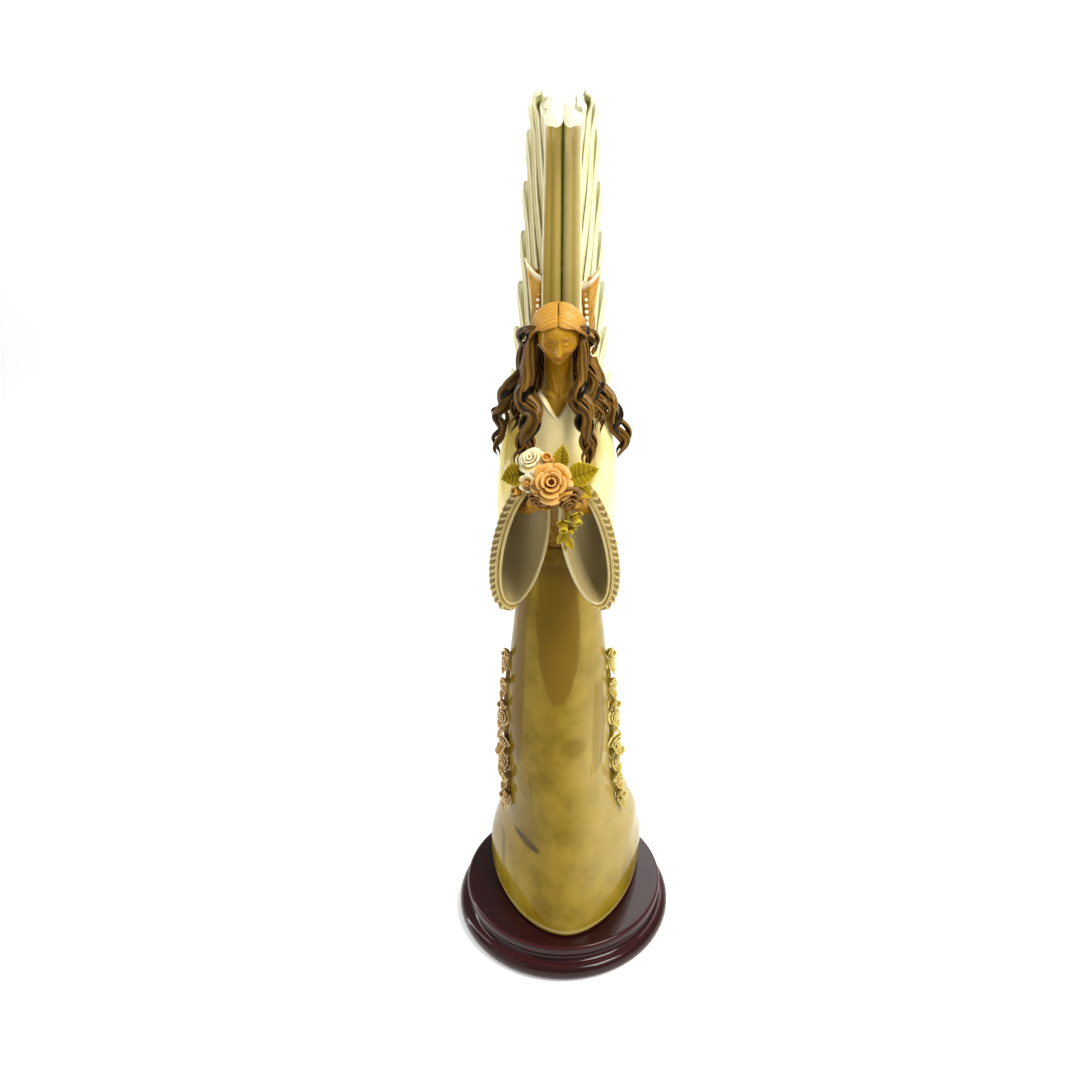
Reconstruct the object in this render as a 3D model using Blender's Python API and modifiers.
"""Angel figurine: a robed angel under raised wings, cast and painted in resin, on a turned wooden base.

Every length below is in millimetres and is scaled to metres where a mesh is made. The origin is the
centre of the base's underside, +Z is up and the figure faces -Y.
"""

import math

import bmesh
import bpy
import numpy as np

MM = 0.001
GLUE_GAP = 0.3

BASE_RADIUS = 51.0
PLATE_RADIUS = 47.0
BASE_TOP = 17.6
FELT_RADIUS = 46.0
FELT_TOP = 1.7
RECESS_TOP = 2.0

WAIST_Z = 203.0
FIGURE_X = -2.2
HEAD_CENTRE = np.array([-1.9, -10.5, 287.6])
HEAD_SIZE = np.array([7.7, 9.6, 10.2])
HEAD_TILT = 8.0

SCREW_Y = 13.0
SCREW_RADIUS = 1.7
SCREW_HEAD_RADIUS = 3.6


# ---------------------------------------------------------------- scene and finishes

for thing in list(bpy.data.objects):
    bpy.data.objects.remove(thing, do_unlink=True)

FIGURINE = bpy.data.collections.new("resin_angel_figurine")
HELPERS = bpy.data.collections.new("cutters")
HELPERS.hide_render = True
bpy.context.scene.collection.children.link(FIGURINE)
bpy.context.scene.collection.children.link(HELPERS)


def make_finish(name, colour, roughness, metallic=0.0):
    """A Principled material from a linear colour."""
    finish = bpy.data.materials.new(name)
    finish.use_nodes = True
    finish.diffuse_color = (*colour, 1.0)
    shader = finish.node_tree.nodes["Principled BSDF"]
    shader.inputs["Base Color"].default_value = (*colour, 1.0)
    shader.inputs["Roughness"].default_value = roughness
    shader.inputs["Metallic"].default_value = metallic
    return finish


MAHOGANY = make_finish("mahogany_lacquer", (0.045, 0.010, 0.010), 0.15)
FELT = make_finish("green_felt", (0.020, 0.060, 0.035), 0.95)
STEEL = make_finish("screw_steel", (0.55, 0.55, 0.56), 0.35, 1.0)
GLAZE = make_finish("ochre_gown_glaze", (0.55, 0.38, 0.13), 0.18)
LACE = make_finish("cream_lace_relief", (0.62, 0.50, 0.28), 0.35)
SKIN = make_finish("ochre_skin_glaze", (0.58, 0.36, 0.11), 0.22)
HAIR = make_finish("chestnut_hair_paint", (0.12, 0.05, 0.02), 0.25)
FEATHER = make_finish("ivory_feather_glaze", (0.66, 0.65, 0.45), 0.25)
PEACH = make_finish("peach_lily_paint", (0.80, 0.42, 0.24), 0.35)
ROSE = make_finish("peach_rose_paint", (0.72, 0.38, 0.18), 0.35)
CREAM_ROSE = make_finish("cream_rose_paint", (0.75, 0.62, 0.38), 0.35)
LEAF = make_finish("olive_leaf_paint", (0.22, 0.22, 0.03), 0.35)
BRONZE = make_finish("bronze_garland_paint", (0.35, 0.20, 0.07), 0.35)


# ---------------------------------------------------------------- general shapes


def place(name, mesh, finish, helper=False):
    """Names the mesh's object, gives it its finish and files it with the figurine or with the helpers."""
    piece = bpy.data.objects.new(name, mesh)
    if finish is not None:
        mesh.materials.clear()
        mesh.materials.append(finish)
    if helper:
        HELPERS.objects.link(piece)
        piece.hide_render = True
        piece.display_type = "WIRE"
    else:
        FIGURINE.objects.link(piece)
    return piece


def solid(name, points, faces, finish, helper=False):
    """A closed mesh from points in millimetres, with its faces turned outwards."""
    mesh = bpy.data.meshes.new(name)
    mesh.from_pydata((np.asarray(points) * MM).tolist(), [], [list(face) for face in faces])
    work = bmesh.new()
    work.from_mesh(mesh)
    bmesh.ops.recalc_face_normals(work, faces=work.faces)
    work.to_mesh(mesh)
    work.free()
    return place(name, mesh, finish, helper)


def ring_faces(count, around):
    """Quads between neighbouring rings and a fan at each end; the two fan centres follow the rings."""
    row = np.arange(count - 1)[:, None] * around
    here = np.arange(around)[None, :]
    after = (here + 1) % around
    quads = np.stack([row + here, row + after, row + around + after, row + around + here], axis=-1)
    faces = [tuple(quad) for quad in quads.reshape(-1, 4).tolist()]
    first = count * around
    last = (count - 1) * around
    for n in range(around):
        faces.append((first, (n + 1) % around, n))
        faces.append((first + 1, last + n, last + (n + 1) % around))
    return faces


def loft(name, rings, finish, helper=False):
    """Skins closed rings that have the same number of points, and closes both ends."""
    rings = np.asarray(rings, float)
    count, around, _ = rings.shape
    ends = [rings[0].mean(axis=0), rings[-1].mean(axis=0)]
    points = np.vstack([rings.reshape(-1, 3), ends])
    return solid(name, points, ring_faces(count, around), finish, helper)


def through(rows, count):
    """Catmull-Rom curve through the rows, resampled to `count` rows evenly in the parameter."""
    rows = np.asarray(rows, float)
    padded = np.vstack([2 * rows[0] - rows[1], rows, 2 * rows[-1] - rows[-2]])
    at = np.linspace(0, len(rows) - 1, count)
    k = np.minimum(at.astype(int), len(rows) - 2)
    t = (at - k)[:, None]
    a, b, c, d = (padded[k + n] for n in range(4))
    return 0.5 * (2 * b + (c - a) * t + (2 * a - 5 * b + 4 * c - d) * t**2 + (3 * b - a - 3 * c + d) * t**3)


def egg_rings(sections, count, around):
    """Rings from rows of z, centre x, half width, widest y, front y, back y and front pointedness."""
    rows = through(sections, count)
    angle = np.linspace(0, 2 * math.pi, around, endpoint=False)
    cosine, sine = np.cos(angle), np.sin(angle)
    rings = []
    for z, centre, half, widest, front, back, power in rows:
        power = np.where(sine < 0, power, 1.0)
        side = np.sign(cosine) * np.abs(cosine) ** power
        depth = np.sign(sine) * np.abs(sine) ** power
        reach = np.where(sine > 0, back - widest, widest - front)
        rings.append(np.stack([centre + half * side, widest + reach * depth, np.full(around, z)], axis=-1))
    return rings


def tube(name, rows, count, finish, helper=False):
    """A round rod of changing radius along rows of x, y, z and radius."""
    rows = through(rows, count)
    curve = bpy.data.curves.new(name, "CURVE")
    curve.dimensions = "3D"
    curve.fill_mode = "FULL"
    curve.bevel_depth = MM
    curve.bevel_resolution = 2
    curve.use_fill_caps = True
    curve.twist_mode = "MINIMUM"
    line = curve.splines.new("POLY")
    line.points.add(len(rows) - 1)
    for point, (x, y, z, radius) in zip(line.points, rows):
        point.co = (x * MM, y * MM, z * MM, 1.0)
        point.radius = max(radius, 0.25)
    rod = bpy.data.objects.new(name + "_path", curve)
    HELPERS.objects.link(rod)
    mesh = bpy.data.meshes.new_from_object(rod)
    bpy.data.objects.remove(rod, do_unlink=True)
    work = bmesh.new()
    work.from_mesh(mesh)
    bmesh.ops.remove_doubles(work, verts=work.verts, dist=1e-6)
    bmesh.ops.recalc_face_normals(work, faces=work.faces)
    work.to_mesh(mesh)
    work.free()
    mesh.name = name
    return place(name, mesh, finish, helper)


def rod_between(name, start, end, radius, sides=16):
    """A plain helper cylinder between two points."""
    start = np.asarray(start, float)
    end = np.asarray(end, float)
    along = (end - start) / np.linalg.norm(end - start)
    across = np.cross(along, [0.0, 0.0, 1.0] if abs(along[2]) < 0.9 else [1.0, 0.0, 0.0])
    across /= np.linalg.norm(across)
    other = np.cross(along, across)
    angle = np.linspace(0, 2 * math.pi, sides, endpoint=False)[:, None]
    ring = radius * (np.cos(angle) * across + np.sin(angle) * other)
    return loft(name, [start + ring, end + ring], None, helper=True)


def turned(name, profile, steps, finish, helper=False, centre=(0.0, 0.0)):
    """A lathe-turned piece: the profile rows of radius and height spun about the vertical."""
    mesh = bpy.data.meshes.new(name)
    rows = [(radius * MM, 0.0, height * MM) for radius, height in profile]
    mesh.from_pydata(rows, [(n, n + 1) for n in range(len(rows) - 1)], [])
    piece = place(name, mesh, finish, helper)
    piece.location = (centre[0] * MM, centre[1] * MM, 0.0)
    screw = piece.modifiers.new("turning", "SCREW")
    screw.axis = "Z"
    screw.steps = steps
    screw.render_steps = steps
    screw.use_merge_vertices = True
    screw.merge_threshold = 1e-5
    screw.use_normal_calculate = True
    return piece


def settle(piece):
    """Replaces the piece's mesh by what its modifiers make of it."""
    bpy.context.view_layer.update()
    graph = bpy.context.evaluated_depsgraph_get()
    made = bpy.data.meshes.new_from_object(piece.evaluated_get(graph))
    piece.modifiers.clear()
    piece.data = made
    return piece


def combine(piece, other, operation):
    """One exact Boolean, settled at once; the other object stays behind as a hidden helper."""
    step = piece.modifiers.new(operation.lower(), "BOOLEAN")
    step.operation = operation
    step.solver = "EXACT"
    step.object = other
    settle(piece)
    if other.name not in HELPERS.objects:
        FIGURINE.objects.unlink(other)
        HELPERS.objects.link(other)
    other.hide_render = True
    other.display_type = "WIRE"
    return piece


def join(piece, *others):
    for other in others:
        combine(piece, other, "UNION")
    return piece


def grown(piece, gap):
    """A hidden copy of the piece with its skin moved out by the gap."""
    mesh = piece.data.copy()
    points = np.empty(len(mesh.vertices) * 3)
    normals = np.empty(len(mesh.vertices) * 3)
    mesh.vertices.foreach_get("co", points)
    mesh.vertices.foreach_get("normal", normals)
    mesh.vertices.foreach_set("co", points + normals * gap * MM)
    mesh.update()
    copy = place(piece.name + "_clearance", mesh, None, helper=True)
    copy.location = piece.location
    return copy


def clear_of(piece, *neighbours, gap=GLUE_GAP + 0.05):
    """Cuts the piece back so that a glue gap is left to each neighbour."""
    for neighbour in neighbours:
        combine(piece, grown(neighbour, gap), "DIFFERENCE")
    return piece


def drill(piece, start, end, radius, sides=16):
    return combine(piece, rod_between(piece.name + "_hole", start, end, radius, sides), "DIFFERENCE")


def peg(piece, socket_piece, start, end, radius):
    """Adds a round peg to one piece and cuts its socket, wider and deeper by the glue gap, in another."""
    start = np.asarray(start, float)
    end = np.asarray(end, float)
    along = (end - start) / np.linalg.norm(end - start)
    join(piece, rod_between(piece.name + "_peg", start, end, radius))
    drill(socket_piece, start, end + along * GLUE_GAP, radius + GLUE_GAP)


# ---------------------------------------------------------------- base, felt and screws


def make_base():
    profile = [
        (0.0, RECESS_TOP),
        (FELT_RADIUS + GLUE_GAP, RECESS_TOP),
        (FELT_RADIUS + GLUE_GAP, 1.0),
        (49.6, 1.0),
        (50.7, 2.2),
        (BASE_RADIUS, 4.0),
        (50.9, 5.6),
        (50.2, 7.0),
        (48.6, 8.0),
        (47.0, 8.5),
        (45.9, 9.5),
        (45.4, 11.0),
        (45.8, 12.4),
        (46.6, 13.0),
        (PLATE_RADIUS, 14.2),
        (PLATE_RADIUS, 15.8),
        (46.3, 17.0),
        (45.0, BASE_TOP),
        (0.0, BASE_TOP),
    ]
    plinth = settle(turned("base_plinth", profile, 56, MAHOGANY))
    for side in (-1, 1):
        y = side * SCREW_Y
        drill(plinth, (0, y, -5), (0, y, 30), SCREW_RADIUS + GLUE_GAP)
        drill(plinth, (0, y, -5), (0, y, 6.5), SCREW_HEAD_RADIUS + GLUE_GAP, sides=24)
    return plinth


def make_felt():
    profile = [
        (0.0, FELT_TOP),
        (FELT_RADIUS, FELT_TOP),
        (FELT_RADIUS, 0.4),
        (FELT_RADIUS - 0.4, 0.0),
        (0.0, 0.0),
    ]
    return settle(turned("felt_pad", profile, 48, FELT))


def make_screw(name, y):
    """A pan-head wood screw driven up through the base into the hem of the gown."""
    profile = [
        (0.0, 3.2),
        (2.6, 3.3),
        (3.4, 4.0),
        (SCREW_HEAD_RADIUS, 4.9),
        (SCREW_HEAD_RADIUS, 6.2),
        (SCREW_RADIUS, 6.2),
        (SCREW_RADIUS, 30.0),
        (0.6, 33.0),
        (0.0, 33.2),
    ]
    screw = settle(turned(name, profile, 16, STEEL, centre=(0.0, y)))
    for turn in (0, 90):
        angle = math.radians(turn)
        along = np.array([math.cos(angle), math.sin(angle), 0.0])
        across = np.array([-math.sin(angle), math.cos(angle), 0.0])
        corners = [a * along * 2.0 + b * across * 0.35 for a, b in ((-1, -1), (1, -1), (1, 1), (-1, 1))]
        slot = [np.array(corners) + [0, y, height] for height in (2.0, 4.4)]
        combine(screw, loft(name + "_slot", slot, None, helper=True), "DIFFERENCE")
    return screw


# ---------------------------------------------------------------- gown and torso


SKIRT_SECTIONS = [
    # z, centre x, half width, widest y, front y, back y, front pointedness
    (17.9, 0.8, 36.0, 21.0, -39.4, 38.5, 1.10),
    (20.0, 1.0, 37.4, 21.0, -40.8, 40.0, 1.10),
    (30.0, 1.2, 37.2, 19.0, -39.4, 40.0, 1.10),
    (41.0, 1.4, 35.2, 17.0, -37.2, 39.0, 1.10),
    (50.0, 1.8, 33.4, 15.0, -35.4, 37.4, 1.12),
    (60.0, 1.2, 30.4, 13.0, -33.2, 35.0, 1.12),
    (75.0, -0.6, 26.8, 9.0, -30.0, 30.6, 1.08),
    (90.0, -1.8, 24.9, 5.0, -27.6, 27.4, 1.02),
    (119.0, -2.3, 23.6, 1.0, -25.0, 24.5, 1.0),
    (146.0, -2.3, 21.2, 0.0, -22.0, 21.5, 1.0),
    (166.0, -2.3, 18.9, 0.0, -19.6, 19.2, 1.0),
    (185.0, -2.3, 16.3, 0.0, -16.8, 16.8, 1.0),
    (WAIST_Z, FIGURE_X, 13.6, 0.0, -14.2, 14.4, 1.0),
]


def skirt_side(z, y, side):
    """The x of the skirt's surface at a height and a depth, on one side."""
    heights = [row[0] for row in SKIRT_SECTIONS]
    columns = list(zip(*SKIRT_SECTIONS))
    centre, half, widest, front, back, power = [np.interp(z, heights, column) for column in columns[1:]]
    if y > widest:
        return centre + side * half * math.sqrt(1 - ((y - widest) / (back - widest)) ** 2)
    share = ((widest - y) / (widest - front)) ** (1 / power)
    return centre + side * half * math.sqrt(1 - share**2) ** power


def make_skirt():
    """The skirt of the gown: a slim column that swells at the back and sides into a low hem."""
    skirt = loft("gown_skirt", egg_rings(SKIRT_SECTIONS, 19, 32), GLAZE)
    for side in (-1, 1):
        drill(skirt, (0, side * SCREW_Y, 10), (0, side * SCREW_Y, 34.5), SCREW_RADIUS + GLUE_GAP, sides=12)
    return skirt


def make_bodice(skirt):
    """The torso of the gown, from the waist to the shoulders, cut to a V below the throat."""
    sections = [
        (WAIST_Z + GLUE_GAP, FIGURE_X, 13.5, 0.0, -14.0, 14.2, 1.0),
        (214.0, FIGURE_X, 11.9, -0.5, -12.4, 12.4, 1.0),
        (228.0, FIGURE_X, 11.6, -1.0, -13.2, 11.0, 1.0),
        (240.0, FIGURE_X, 11.9, -2.0, -15.2, 9.8, 1.0),
        (248.0, FIGURE_X, 11.9, -2.5, -15.6, 8.8, 1.0),
        (254.0, FIGURE_X, 11.2, -2.8, -15.0, 7.6, 1.0),
        (259.0, FIGURE_X + 0.1, 9.6, -3.0, -13.6, 5.8, 1.0),
        (263.0, FIGURE_X + 0.2, 7.8, -3.2, -11.6, 4.2, 1.0),
        (265.0, FIGURE_X + 0.2, 6.9, -3.4, -10.4, 3.4, 1.0),
    ]
    bodice = loft("gown_bodice", egg_rings(sections, 14, 28), GLAZE)
    opening = ((FIGURE_X, 254.5), (FIGURE_X + 7.0, 267.0), (FIGURE_X - 7.0, 267.0))
    notch = [[(x, y, z) for x, z in opening] for y in (-24.0, -6.0)]
    combine(bodice, loft("neckline_notch", notch, None, helper=True), "DIFFERENCE")
    peg(bodice, skirt, (FIGURE_X, 0, 207), (FIGURE_X, 0, 192), 6.0)
    return bodice


# ---------------------------------------------------------------- head and hair


def tilt(points):
    """Nods points of the upright head forward about its centre."""
    angle = math.radians(HEAD_TILT)
    local = np.asarray(points, float) - HEAD_CENTRE
    y = local[..., 1] * math.cos(angle) - local[..., 2] * math.sin(angle)
    z = local[..., 1] * math.sin(angle) + local[..., 2] * math.cos(angle)
    return np.stack([local[..., 0], y, z], axis=-1) + HEAD_CENTRE


def make_head(bodice):
    """A calm, plain oval face on a slim neck: brow, nose and chin are gentle swellings only."""
    rise = np.linspace(math.pi, 0, 16)[1:-1]
    angle = np.linspace(0, 2 * math.pi, 24, endpoint=False)
    polar, around = np.meshgrid(rise, angle, indexing="ij")
    side = np.sin(polar) * np.cos(around)
    front = -np.sin(polar) * np.sin(around)
    height = np.cos(polar)
    jaw = np.clip(-height, 0, 1)
    width = HEAD_SIZE[0] * (1 - 0.20 * jaw**1.5)
    x = side * width
    y = front * HEAD_SIZE[1] - 1.2 * jaw * (front < 0)
    z = height * HEAD_SIZE[2]
    nose = np.exp(-((x / 1.1) ** 2) - ((z + 1.4) / 2.2) ** 2) * (front < 0)
    y = y - 1.1 * nose
    rings = tilt(HEAD_CENTRE + np.stack([x, y, z], axis=-1))
    head = loft("head", rings, SKIN)
    chest = [
        (249.0, -2.0, 6.2, -2.0, -11.8, 0.6, 1.0),
        (254.0, -2.0, 7.2, -2.0, -13.4, 1.2, 1.0),
        (259.0, -2.0, 7.0, -2.2, -12.2, 1.6, 1.0),
        (263.0, -2.0, 6.2, -2.6, -10.2, 1.8, 1.0),
        (267.0, -1.9, 5.4, -3.2, -9.2, 1.6, 1.0),
        (272.0, -1.9, 5.0, -4.2, -9.6, 1.0, 1.0),
        (277.0, -1.9, 5.0, -6.0, -11.6, -0.4, 1.0),
        (283.0, -1.9, 5.0, -8.0, -13.4, -2.0, 1.0),
    ]
    neck = loft("neck_and_chest", egg_rings(chest, 13, 20), None, helper=True)
    join(head, neck)
    combine(bodice, grown(neck, GLUE_GAP), "DIFFERENCE")
    return head


def make_hair_cap(head):
    """The smooth cap of hair: over the crown, behind the ears and down to the nape."""
    rise = np.linspace(math.pi, 0, 13)[1:-1]
    angle = np.linspace(0, 2 * math.pi, 24, endpoint=False)
    polar, around = np.meshgrid(rise, angle, indexing="ij")
    side = np.sin(polar) * np.cos(around)
    front = -np.sin(polar) * np.sin(around)
    height = np.cos(polar)
    wave = 0.25 * np.cos(9 * around)
    x = side * (10.6 - 0.6 * np.clip(height, 0, 1))
    y = front * 11.0 + 1.6
    z = height * (11.0 + wave * (height < 0.6)) + 0.6
    cap = loft("hair_cap", tilt(HEAD_CENTRE + np.stack([x, y, z], axis=-1)), HAIR)
    face_opening = []
    for depth, grow in ((-30.0, 1.2), (-11.0, 1.0), (-5.5, 0.85)):
        turn = np.linspace(0, 2 * math.pi, 16, endpoint=False)
        across = 7.4 * grow * np.cos(turn)
        height = -9.8 + 11.6 * grow * np.sin(turn)
        ring = np.stack([across, np.full(16, depth), height], axis=-1)
        face_opening.append(tilt(HEAD_CENTRE + ring))
    combine(cap, loft("face_opening", face_opening, None, helper=True), "DIFFERENCE")
    clear_of(cap, head)
    return cap


def mirrored(rows, side):
    """Reflects rows of x, y, z and more about the figure's middle for the other side."""
    rows = np.array(rows, float)
    rows[:, 0] = FIGURE_X + side * rows[:, 0]
    return rows


def make_front_lock(side, name, cutters):
    """The wavy lock that falls from the temple in front of the shoulder."""
    if side < 0:
        rows = [
            (8.6, -11, 289, 1.8),
            (9.8, -13, 283, 3.2),
            (11.3, -14, 272, 3.7),
            (10.9, -16.5, 264, 4.1),
            (9.9, -19.5, 257, 4.1),
            (11.2, -21, 251, 3.6),
            (14.2, -21.5, 245.6, 2.7),
            (14.0, -22, 240.4, 1.1),
        ]
    else:
        rows = [
            (8.8, -11, 289, 1.8),
            (9.6, -13, 283, 2.6),
            (8.5, -14, 273, 2.8),
            (8.9, -17.5, 266.5, 4.0),
            (9.3, -20, 259.4, 3.2),
            (12.2, -21.5, 253.2, 3.0),
            (10.8, -22, 247.2, 2.9),
            (11.6, -22.5, 239.6, 1.1),
        ]
    piece = tube(name, mirrored(rows, side), 19, HAIR)
    return clear_of(piece, *cutters)


def make_outer_curls(side, name, cutters):
    """The loose curls behind the temple that spread over the shoulder."""
    if side < 0:
        long_curl = [
            (10.4, -3, 288, 2.0),
            (12.4, -4, 279, 3.4),
            (14.6, -5, 270, 3.8),
            (18.6, -7, 263.5, 3.6),
            (22.6, -8, 259.2, 3.2),
            (25.0, -8.4, 257.0, 1.8),
        ]
        short_curl = [
            (16.4, -6.5, 266, 2.2),
            (21.2, -9.5, 258, 2.4),
            (22.6, -10.5, 250, 1.8),
            (22.6, -11, 240, 0.9),
        ]
    else:
        long_curl = [
            (10.4, -3, 288, 2.0),
            (12.4, -4, 277, 3.2),
            (15.6, -5, 268, 3.4),
            (19.4, -7, 260, 3.2),
            (23.0, -8, 253.6, 3.0),
            (24.4, -8.5, 249, 2.8),
            (24.0, -9, 244, 2.1),
            (23.2, -9, 238.6, 0.9),
        ]
        short_curl = [(13.4, -7.5, 274, 2.4), (15.6, -10, 266, 2.8), (17.6, -12.5, 257, 1.2)]
    piece = tube(name, mirrored(long_curl, side), 12, HAIR)
    join(piece, tube(name + "_short", mirrored(short_curl, side), 12, None, helper=True))
    return clear_of(piece, *cutters)


def make_hair_back(cutters):
    """The fall of hair behind the neck, from the nape to between the shoulders."""
    sections = [
        (281.0, -1.9, 7.6, -0.5, -3.0, 4.4, 1.0),
        (276.0, -1.9, 10.0, 0.0, -4.4, 6.0, 1.0),
        (269.0, -2.0, 12.4, 0.6, -4.2, 7.6, 1.0),
        (262.0, -2.0, 13.6, 2.2, -2.0, 8.8, 1.0),
        (255.0, -2.1, 13.0, 5.0, 2.0, 9.9, 1.0),
        (249.0, -2.2, 10.0, 7.6, 5.0, 10.6, 1.0),
    ]
    return clear_of(loft("hair_back", egg_rings(sections, 8, 16), HAIR), *cutters)


# ---------------------------------------------------------------- sleeves, lace and hands


SLEEVE_RINGS = [
    # offset from the middle, y, z, half width, half reach, tilt from level, lean of the reach outwards
    (11.6, -2.6, 261.6, 1.2, 2.0, 5, 0.0),
    (13.6, -2.6, 259.2, 3.2, 4.6, 7, 0.0),
    (15.6, -2.8, 254.2, 4.4, 6.3, 9, 0.0),
    (16.9, -3.2, 246.0, 4.7, 7.5, 13, 0.2),
    (17.7, -5.0, 237.0, 4.9, 8.7, 24, 0.8),
    (18.0, -9.6, 228.5, 5.3, 11.8, 42, 1.6),
    (16.6, -17.5, 221.4, 5.9, 16.2, 60, 2.8),
    (13.9, -28.0, 217.2, 7.2, 21.2, 76, 4.2),
    (11.3, -38.5, 215.6, 8.5, 25.4, 87, 5.0),
]


def sleeve_middle(y):
    """The arms reach a little to one side as they come forward."""
    return FIGURE_X + 0.03 * y


def sleeve_ring(row, side, around, inset=0.0):
    offset, y, z, half, reach, turn, lean = row
    angle = np.linspace(0, 2 * math.pi, around, endpoint=False)
    half = max(half - inset, 0.4)
    reach = max(reach - inset, 0.6)
    out = half * np.cos(angle)
    along = reach * np.sin(angle)
    turn = math.radians(turn)
    x = sleeve_middle(y) + side * (offset + out + lean * np.sin(angle))
    return np.stack([x, y + along * math.cos(turn), z - along * math.sin(turn)], axis=-1)


def make_sleeve(side, name, bodice):
    """A bell sleeve, open to the front, with a wall that runs from the shoulder to a drooping rim."""
    around = 20
    rows = through(SLEEVE_RINGS, 14)
    outer = [sleeve_ring(row, side, around) for row in rows]
    inner = [sleeve_ring(row, side, around, 1.5) for row in rows[5:]]
    inner[-1][:, 1] = outer[-1][:, 1]
    piece = loft(name, outer, GLAZE)
    hollow = inner + [inner[-1] + [0.0, -6.0, 0.0]]
    combine(piece, loft(name + "_hollow", hollow, None, helper=True), "DIFFERENCE")
    return clear_of(piece, bodice)


def make_lace(side, name):
    """The raised lace band on the outer rim of a sleeve, from the wrist down to the drooping tip."""
    count = 25
    angle = np.linspace(math.radians(-104), math.radians(104), count)
    rim = SLEEVE_RINGS[-1]
    turn = math.radians(rim[5])
    radial = np.stack([rim[3] * np.cos(angle), rim[4] * np.sin(angle)], axis=-1)
    normal = np.stack([rim[4] * np.cos(angle), rim[3] * np.sin(angle)], axis=-1)
    normal /= np.linalg.norm(normal, axis=1, keepdims=True)
    rings = []
    for n in range(count):
        ring = []
        scallop = 0.25 * math.cos(n * math.pi)
        for out, back in ((0.45, -1.2), (2.0, -0.9), (3.5 + scallop, 0.6), (2.5, 2.0), (0.7, 2.4)):
            reach = radial[n] + normal[n] * out
            lean = rim[6] * math.sin(angle[n])
            x = sleeve_middle(rim[1]) + side * (rim[0] + reach[0] + lean)
            ring.append((x, rim[1] + back + reach[1] * math.cos(turn), rim[2] - reach[1] * math.sin(turn)))
        rings.append(ring)
    return loft(name, rings, LACE)


def make_hand(side, name):
    """A forearm inside the sleeve, ending in a hand cupped under the flowers."""
    forearm = [
        (14.6, -20, 223.5, 2.4),
        (11.4, -29, 227.5, 2.5),
        (9.4, -37, 231.5, 2.2),
        (8.6, -43, 235.4, 2.4),
        (6.8, -48.5, 237.4, 2.3),
    ]
    arm = tube(name, mirrored(forearm, side), 10, SKIN)
    fingers = []
    fingertips = [(6.2, -54.0, 239.0), (3.8, -53.2, 238.2), (2.0, -50.8, 237.6), (1.8, -47.4, 237.2)]
    for n, (x, y, z) in enumerate(fingertips):
        knuckle = (7.2, -47.5, 237.4, 1.5)
        joint = ((7.2 + x) / 2, (y - 47.5) / 2, 236.2, 1.25)
        path = mirrored([knuckle, joint, (x, y, z, 0.9)], side)
        fingers.append(tube(f"{name}_finger_{n}", path, 5, None, helper=True))
    return join(arm, *fingers)


# ---------------------------------------------------------------- flowers and leaves


def basis(facing):
    """Two directions square to the one faced."""
    facing = np.asarray(facing, float) / np.linalg.norm(facing)
    across = np.cross([0.0, 0.0, 1.0], facing)
    across /= np.linalg.norm(across)
    return facing, across, np.cross(facing, across)


def make_rose(name, centre, radius, facing, finish, helper=False, rows=9, around=15, depth=0.75):
    """A rose head: a bowl whose face steps down petal by petal in a spiral towards the heart."""
    facing, across, up = basis(facing)
    rings = []
    for n in range(1, rows + 1):
        polar = math.pi * n / (rows + 1)
        angle = np.linspace(0, 2 * math.pi, around, endpoint=False)
        step = (3.0 * polar / math.pi + angle / (2 * math.pi)) % 1.0
        relief = 1.0 - 0.13 * step * (polar < 2.0) + 0.05 * np.cos(5 * angle + 2 * polar)
        reach = radius * relief * math.sin(polar)
        rise = radius * depth * relief * math.cos(polar)
        ring = centre + np.outer(reach * np.cos(angle), across) + np.outer(reach * np.sin(angle), up)
        rings.append(ring + np.outer(rise, facing))
    return loft(name, rings, finish, helper)


def make_leaf(name, start, end, half, facing, finish, helper=False, droop=0.8, count=7):
    """A pointed leaf: a thin blade creased along its midrib."""
    start = np.asarray(start, float)
    end = np.asarray(end, float)
    along = end - start
    outline = ((-1, 0.15), (-0.5, -0.1), (0, -0.35), (0.5, -0.1), (1, 0.15), (0.5, 0.75), (0, 0.45), (-0.5, 0.75))
    facing, _, _ = basis(facing)
    across = np.cross(along / np.linalg.norm(along), facing)
    across /= np.linalg.norm(across)
    lift = np.cross(across, along / np.linalg.norm(along))
    rings = []
    for t in np.linspace(0.0, 1.0, count):
        middle = start + along * t - lift * droop * 4 * (t - 0.5) ** 2
        wide = 0.35 + half * math.sin(math.pi * min(t * 0.9 + 0.05, 1.0)) ** 0.8
        wide = max(wide * (1.0 - 0.5 * (t == 1.0)), 0.3)
        ring = []
        for a, b in outline:
            ring.append(middle + across * wide * a + lift * (b * 0.9 + 0.1))
        rings.append(ring)
    return loft(name, rings, finish, helper)


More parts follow.
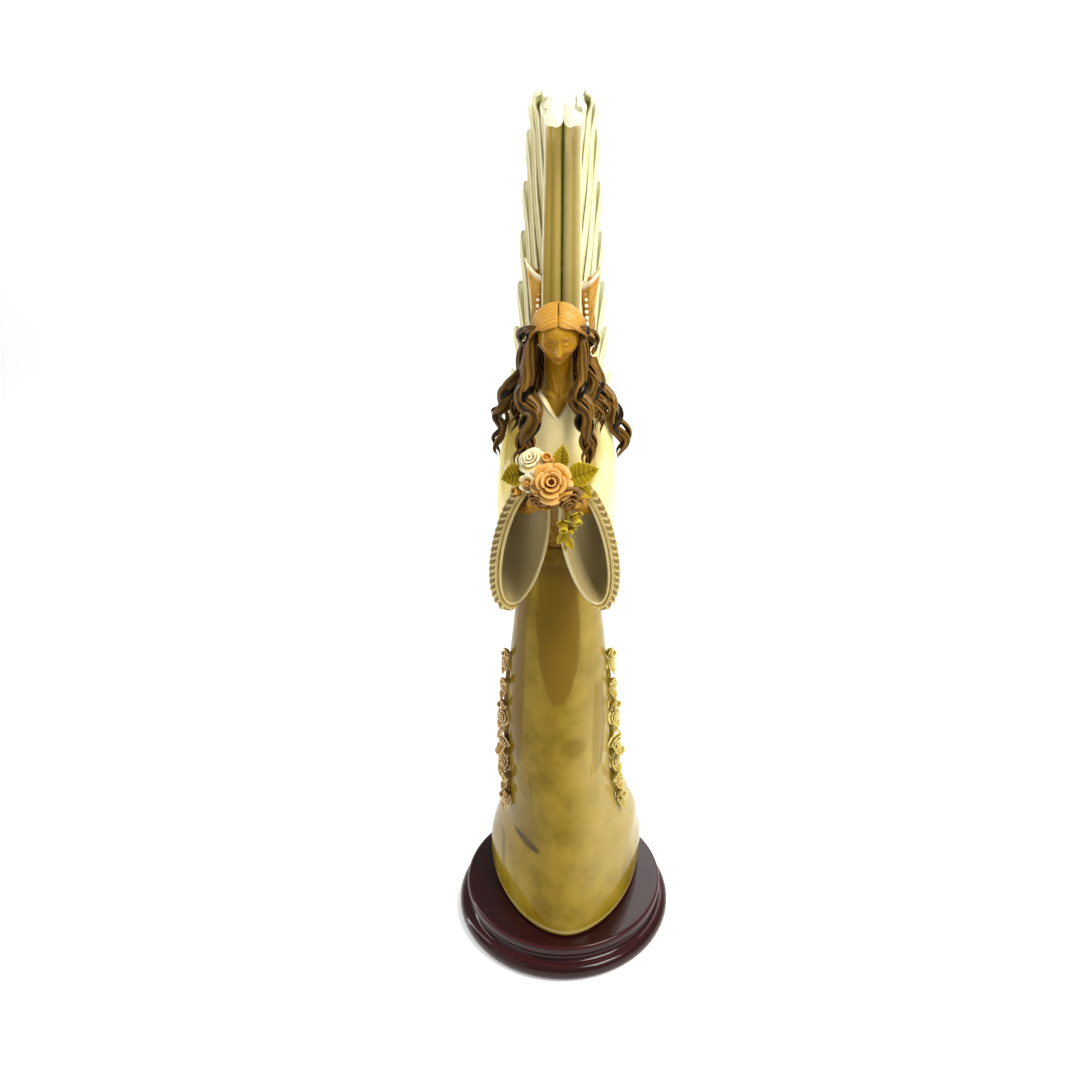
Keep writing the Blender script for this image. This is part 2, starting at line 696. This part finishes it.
def make_bouquet(hands):
    """The flowers held before the chest, laid on a small moulded pad."""
    middle = np.array([-4.2, -47.5, 244.6])
    core = make_rose("bouquet_core", middle, 8.4, (0.0, -0.5, 0.9), LEAF, rows=7, around=14, depth=0.5)
    placed = [core]
    flowers = [
        ("bouquet_rose_centre", (-4.2, -55.5, 248.6), 6.3, (0.0, -0.85, 0.5), ROSE, 9, 15),
        ("bouquet_petal_low_left", (-8.6, -54.2, 242.6), 4.6, (-0.3, -0.7, -0.5), ROSE, 6, 12),
        ("bouquet_petal_low_right", (1.2, -54.6, 242.2), 5.2, (0.3, -0.7, -0.5), ROSE, 6, 12),
        ("bouquet_rose_cream", (-11.2, -48.6, 254.6), 4.2, (-0.35, -0.6, 0.75), CREAM_ROSE, 8, 13),
        ("bouquet_rosebud", (-6.0, -49.0, 254.4), 2.9, (0.1, -0.6, 0.8), ROSE, 6, 11),
        ("bouquet_blossom", (-12.4, -53.0, 247.4), 3.2, (-0.4, -0.9, 0.1), CREAM_ROSE, 6, 11),
        ("bouquet_bud_left", (-16.0, -49.6, 243.2), 2.4, (-0.8, -0.6, 0.1), ROSE, 6, 11),
    ]
    for name, centre, radius, facing, finish, rows, around in flowers:
        flower = make_rose(name, np.array(centre), radius, facing, finish, rows=rows, around=around)
        clear_of(flower, *placed)
        placed.append(flower)
    leaves = [
        ("bouquet_leaf_left", (-13.4, -49.0, 249.4), (-21.4, -50.6, 248.2), 3.9, (-0.1, -0.75, 0.65)),
        ("bouquet_leaf_right", (1.6, -49.0, 247.0), (12.0, -49.6, 251.6), 4.2, (0.1, -0.75, 0.65)),
        ("bouquet_leaf_top", (-1.2, -47.0, 250.6), (-0.2, -46.4, 259.0), 2.8, (0.0, -0.95, 0.3)),
        ("bouquet_leaf_low", (4.0, -49.0, 245.2), (10.0, -50.2, 241.0), 2.4, (0.2, -0.9, 0.4)),
    ]
    for name, start, end, half, facing in leaves:
        leaf = make_leaf(name, start, end, half, facing, LEAF)
        clear_of(leaf, *placed)
        placed.append(leaf)
    rows = [
        (-0.6, -49.0, 239.4, 1.0),
        (0.8, -52.6, 236.6, 1.0),
        (1.2, -53.4, 231.6, 1.2),
        (0.8, -53.0, 226.6, 2.0),
        (0.6, -52.6, 221.6, 0.5),
    ]
    spray = tube("bouquet_trailing_spray", rows, 9, LEAF)
    buds = [(4.2, -54.2, 235.0, 2.9), (0.0, -54.6, 232.4, 2.7), (2.8, -53.6, 230.4, 1.8)]
    for n, (x, y, z, radius) in enumerate(buds):
        centre = np.array([x, y, z])
        bud = make_rose(f"spray_bud_{n}", centre, radius, (0, -1, 0.2), None, helper=True, rows=5, around=9)
        join(spray, bud)
    clear_of(spray, *placed)
    placed.append(spray)
    for hand in hands:
        clear_of(hand, *placed)
    return placed


def make_hair_flower(name, centre, radius, facing, cutters):
    return clear_of(make_rose(name, np.array(centre), radius, facing, CREAM_ROSE, rows=5, around=10), *cutters)


def make_calla(name, root, top, mouth, turn, wings):
    """A calla lily: a rolled funnel with a long pointed lip, round a fingered spadix."""
    root = np.asarray(root, float)
    top = np.asarray(top, float)
    along = top - root
    rise = np.linalg.norm(along)
    along /= rise
    out = np.array([math.cos(turn), math.sin(turn), 0.0])
    across = np.array([-math.sin(turn), math.cos(turn), 0.0])
    angle = np.linspace(0, 2 * math.pi, 16, endpoint=False)
    outer = []
    inner = []
    for t in np.linspace(0.0, 1.0, 9):
        radius = 1.1 + (mouth - 1.1) * t**1.7
        back = 0.5 - 0.5 * np.cos(angle)
        height = rise * (t * (0.66 + 0.34 * back**1.5))
        spread = np.outer(radius * np.cos(angle), out) + np.outer(radius * 0.8 * np.sin(angle), across)
        outer.append(root + np.outer(height, along) + spread)
        thin = max(radius - 0.8, 0.3)
        spread = np.outer(thin * np.cos(angle), out) + np.outer(thin * 0.8 * np.sin(angle), across)
        inner.append(root + np.outer(height + 0.02, along) + spread)
    funnel = loft(name, outer, PEACH)
    hollow = inner[3:] + [inner[-1] + along * 12.0]
    combine(funnel, loft(name + "_hollow", hollow, None, helper=True), "DIFFERENCE")
    start = root + along * rise * 0.12
    spadix = [(*start, 0.9), (*(root + along * rise * 0.4), 0.9), (*(root + along * rise * 0.68), 0.6)]
    join(funnel, tube(name + "_spadix", spadix, 5, None, helper=True))
    return clear_of(funnel, *wings)


def make_garland(side, name, skirt):
    """A spray of rosebuds and leaves that hangs down the side of the skirt."""
    rows = []
    hang = [
        (147, -3, 0.9),
        (132, -3, 1.1),
        (117, -4, 1.1),
        (102, -4, 1.2),
        (88, -5, 1.2),
        (74, -5, 1.1),
        (61, -6, 0.8),
    ]
    for z, y, radius in hang:
        rows.append((skirt_side(z, y, side) + side * 0.7, y, z, radius))
    stem = tube(name, rows, 14, LEAF if side > 0 else BRONZE)
    bits = []
    for n, (x, y, z, _) in enumerate(through(rows, 11)):
        swell = 1.0 if 3 < n < 9 else 0.75
        centre = np.array([x + side * 1.0, y + 2.2 * math.sin(2.4 * n), z])
        if n % 3 != 2:
            radius = (2.9 + 0.4 * math.sin(1.7 * n + side)) * swell
            bud_name = f"{name}_bud_{n}"
            facing = (side, -0.5, 0.2)
            bits.append(make_rose(bud_name, centre, radius, facing, None, helper=True, rows=4, around=7))
        else:
            down = -1.0 if n % 2 else 1.0
            tip = centre + np.array([side * 1.8, -3.6, 4.6 * down])
            base = centre + np.array([-side * 1.4, 0.6, -2.0 * down])
            leaf_name = f"{name}_leaf_{n}"
            bits.append(make_leaf(leaf_name, base, tip, 2.0, (side, -0.6, 0.1), None, helper=True, count=5))
    join(stem, *bits)
    return clear_of(stem, skirt)


# ---------------------------------------------------------------- wings


WING_STATIONS = [
    # spar y and z, feather tip y and z, tip offset from the middle, spar half width and half depth
    (-18.0, 362.6, -18.4, 366.2, 4.4, 3.2, 4.0),
    (-8.0, 360.0, 6.0, 367.8, 7.6, 3.3, 4.4),
    (0.5, 354.5, 19.0, 364.3, 9.0, 3.3, 4.6),
    (6.5, 344.5, 30.5, 354.5, 10.2, 3.4, 4.5),
    (10.5, 328.0, 41.0, 335.0, 12.0, 3.6, 4.3),
    (12.8, 308.5, 49.0, 315.0, 13.4, 3.8, 4.0),
    (14.0, 289.0, 55.5, 293.5, 15.0, 3.9, 4.0),
    (15.0, 271.0, 59.0, 273.5, 16.8, 3.9, 3.9),
    (15.8, 255.5, 57.5, 254.5, 18.4, 3.8, 3.7),
    (16.5, 242.0, 47.0, 239.5, 18.2, 3.4, 3.4),
    (17.0, 231.0, 34.0, 229.5, 15.0, 2.6, 2.8),
]
ROWS_PER_FEATHER = 4


def wing_middle(z):
    """The wings lean a little across as they rise."""
    return -2.2 + 2.2 * np.clip((z - 166.0) / 203.0, 0, 1)


def make_wing(side, name, bodice):
    """One wing: a rounded spar along the front, and a fan of round-tipped feathers behind it."""
    rows = through(WING_STATIONS, (len(WING_STATIONS) - 1) * ROWS_PER_FEATHER + 1)
    stops = [(0.08, 0.9), (0.3, 0.2), (0.65, 0.0), (0.96, 0.0)]
    walk = [(reach, wide, 1.0) for reach, wide in stops]
    walk += [(1.0, 0.0, 0.0)] + [(reach, wide, -1.0) for reach, wide in reversed(stops)]
    rings = []
    for n, (spar_y, spar_z, tip_y, tip_z, tip_out, half, depth) in enumerate(rows):
        across = abs((n / ROWS_PER_FEATHER + 0.5) % 1.0 - 0.5) * 2
        notch = 0.17 * across**2.2 if n > 2 else 0.0
        blunt = max(0.0, 1.0 - n / 5)
        back = np.array([tip_y - spar_y, tip_z - spar_z])
        length = np.linalg.norm(back)
        back = back / length
        outline = []
        for turn in np.radians(np.linspace(270, 90, 7)[1:-1]):
            outline.append((depth * math.cos(turn), half * math.sin(turn) + half + 0.2))
        for reach, wide, face in walk:
            plain = (1.5 - 0.7 * reach) * (1.0 - 0.4 * across**2) * (1 - blunt) + 0.9 * half * blunt
            middle = half + 0.2 + (tip_out - half) * (reach * (1 - notch)) ** 1.15
            outline.append((length * (1 - notch) * reach, middle + face * max(half * wide, plain)))
        ring = []
        for along, out in outline:
            y = spar_y + back[0] * along
            z = spar_z + back[1] * along
            ring.append((wing_middle(z) + side * max(out, 0.2), y, z))
        rings.append(ring)
    wing = loft(name, rings, FEATHER)
    start = np.array([FIGURE_X + side * 4.6, 17.5, 238.5])
    peg(wing, bodice, start, start + [0.0, -13.0, -1.5], 1.8)
    return wing


# ---------------------------------------------------------------- assembly


def build():
    make_base()
    make_felt()
    make_screw("base_screw_front", -SCREW_Y)
    make_screw("base_screw_back", SCREW_Y)
    skirt = make_skirt()
    bodice = make_bodice(skirt)
    head = make_head(bodice)
    wings = [make_wing(-1, "wing_left", bodice), make_wing(1, "wing_right", bodice)]
    cap = make_hair_cap(head)
    clear_of(cap, *wings)
    sleeves = [make_sleeve(-1, "sleeve_left", bodice), make_sleeve(1, "sleeve_right", bodice)]
    make_lace(-1, "lace_trim_left")
    make_lace(1, "lace_trim_right")
    hands = [make_hand(-1, "hand_left"), make_hand(1, "hand_right")]
    for hand, sleeve in zip(hands, sleeves):
        clear_of(hand, sleeve)
    body = [head, cap, bodice, *sleeves, *wings]
    back = make_hair_back(body)
    front_left = make_front_lock(-1, "hair_lock_left", body + [back])
    front_right = make_front_lock(1, "hair_lock_right", body + [back])
    curls_left = make_outer_curls(-1, "hair_curls_left", body + [back, front_left])
    curls_right = make_outer_curls(1, "hair_curls_right", body + [back, front_right])
    hair = [cap, back, front_left, front_right, curls_left, curls_right, *wings]
    make_hair_flower("hair_flower_left", (-14.6, -9.0, 287.2), 1.9, (-0.7, -0.7, 0.2), hair)
    make_hair_flower("hair_flower_right", (11.0, -11.0, 282.0), 2.0, (0.7, -0.7, 0.2), hair)
    make_bouquet(hands)
    make_calla("lily_left", (-9.4, 18, 272), (-10.2, 14, 310), 4.0, math.pi, wings)
    make_calla("lily_right", (9.0, 18, 272), (10.2, 14, 307), 4.0, 0.0, wings)
    make_garland(-1, "garland_left", skirt)
    make_garland(1, "garland_right", skirt)


build()
